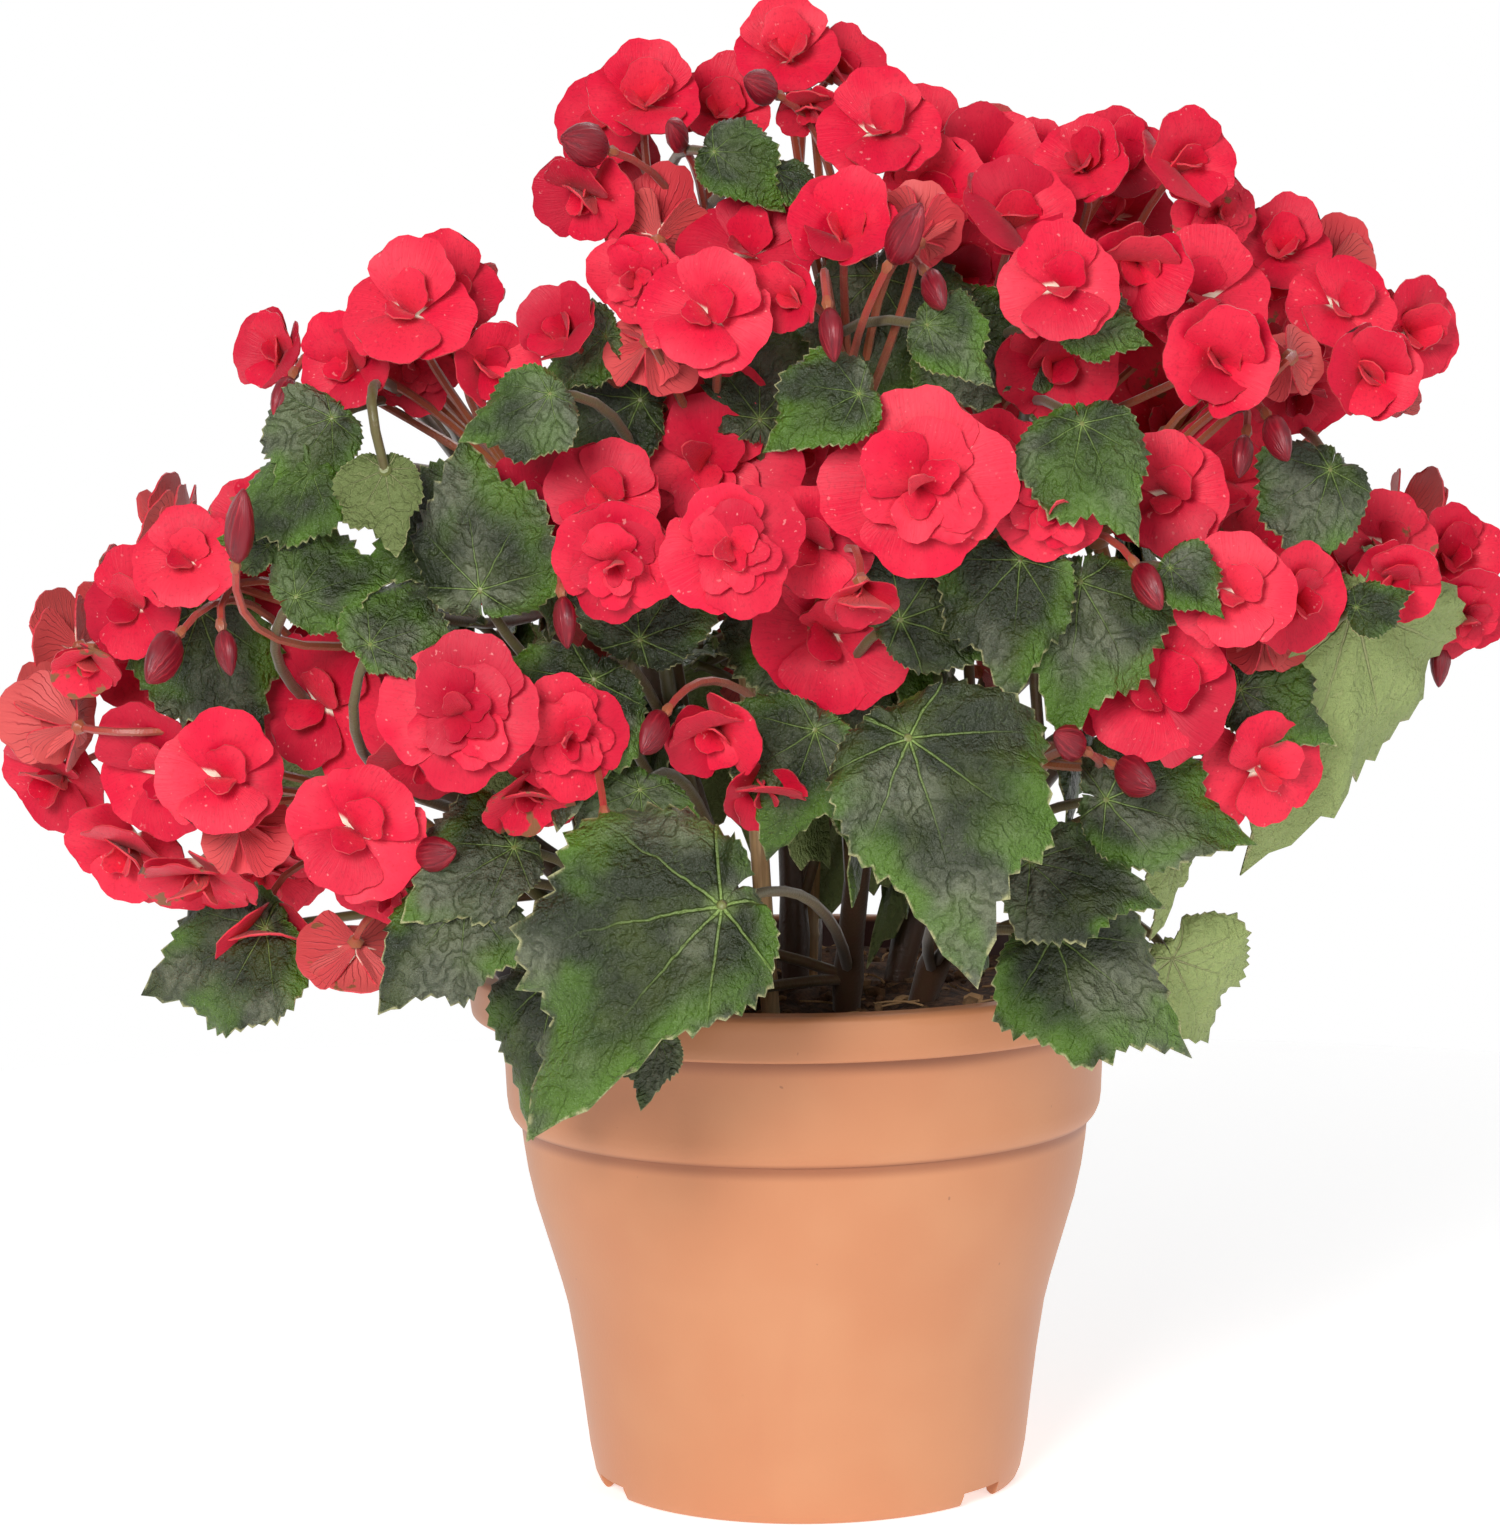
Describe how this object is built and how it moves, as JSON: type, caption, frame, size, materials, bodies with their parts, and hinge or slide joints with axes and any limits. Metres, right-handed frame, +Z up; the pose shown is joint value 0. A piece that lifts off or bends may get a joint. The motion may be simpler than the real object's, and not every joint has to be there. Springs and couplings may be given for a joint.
{
  "type": "potted begonia",
  "caption": "Red semi-double elatior begonia in bloom, in a terracotta-coloured plastic pot with thin bamboo stakes; stands on the pot's foot ring",
  "frame": {"origin": "centre of the bounding box in X and Y, on the plane that the pot's foot ring stands on", "axes": "+Z up along the pot's axis; the picture is taken looking along +Y; +X is to the right in the picture"},
  "size_m": [0.4204, 0.3467, 0.4199],
  "materials": {
    "pot_plastic": "satin",
    "potting_soil": "matte",
    "bamboo": "satin",
    "foliage": "satin",
    "petals": "satin"
  },
  "bodies": {
    "root": {"pot": "pot_plastic", "soil": "potting_soil", "stake_1": "bamboo", "stake_2": "bamboo", "stake_3": "bamboo", "leafy_stem_1": "foliage", "leafy_stem_2": "foliage", "leafy_stem_3": "foliage", "leafy_stem_4": "foliage", "leafy_stem_5": "foliage", "leafy_stem_6": "foliage", "leafy_stem_7": "foliage", "leafy_stem_8": "foliage", "spray_left_top": "petals", "spray_left_edge": "petals", "spray_left_low": "petals", "spray_left_under": "petals", "spray_left_middle": "petals", "spray_upper_left": "petals", "spray_top_left": "petals", "spray_top": "petals", "spray_upper_middle": "petals", "spray_upper_centre": "petals", "spray_centre_left": "petals", "spray_centre": "petals", "spray_centre_low": "petals", "spray_centre_right": "petals", "spray_top_right": "petals", "spray_right_top": "petals", "spray_right_high": "petals", "spray_right_middle": "petals", "spray_right_edge": "petals", "spray_right_low": "petals", "spray_right_small": "petals", "spray_middle_right": "petals", "spray_back_1": "petals", "spray_back_2": "petals", "spray_back_3": "petals", "spray_back_4": "petals", "spray_back_5": "petals"}
  },
  "joints": []
}
